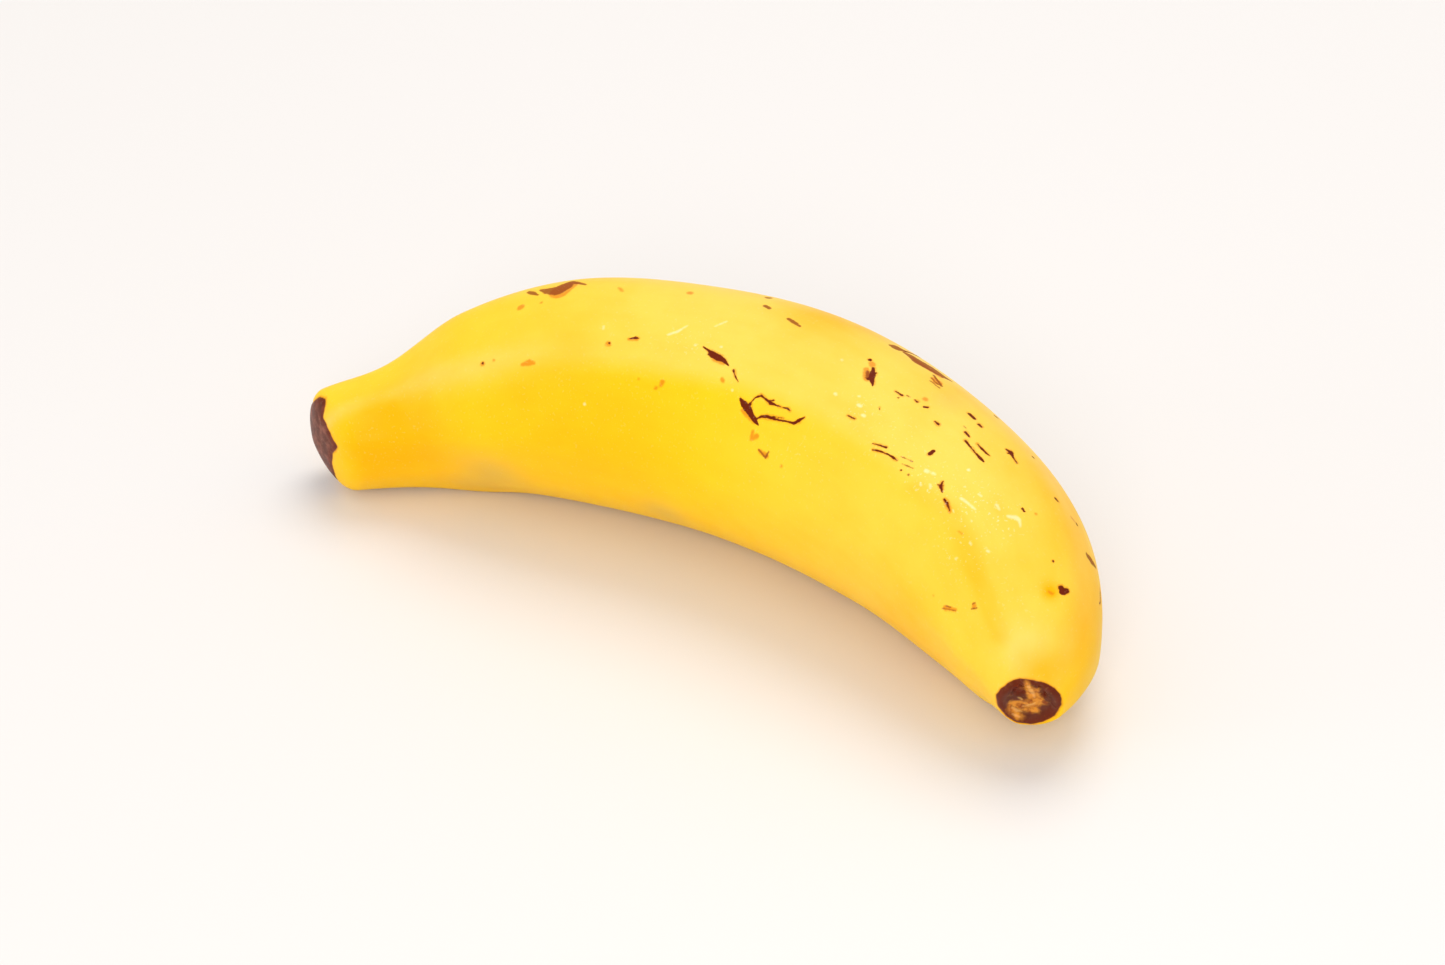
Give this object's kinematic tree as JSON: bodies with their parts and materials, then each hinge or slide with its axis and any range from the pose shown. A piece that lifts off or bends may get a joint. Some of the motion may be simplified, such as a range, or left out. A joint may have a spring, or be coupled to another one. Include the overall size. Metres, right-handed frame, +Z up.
{
  "type": "banana",
  "caption": "A ripe banana, short and plump, lying on its side: a curved body with soft ridges, a cut stem and a round blossom end. For still lifes, tables and kitchens.",
  "frame": {"origin": "on the table, under the middle of the fruit's bounding box", "axes": "+X from the cut stem to the blossom end, +Y towards the outside of the curve, +Z up"},
  "size_m": [0.1426, 0.053, 0.0406],
  "materials": {
    "peel": "satin"
  },
  "bodies": {
    "root": {"banana": "peel"}
  },
  "joints": []
}
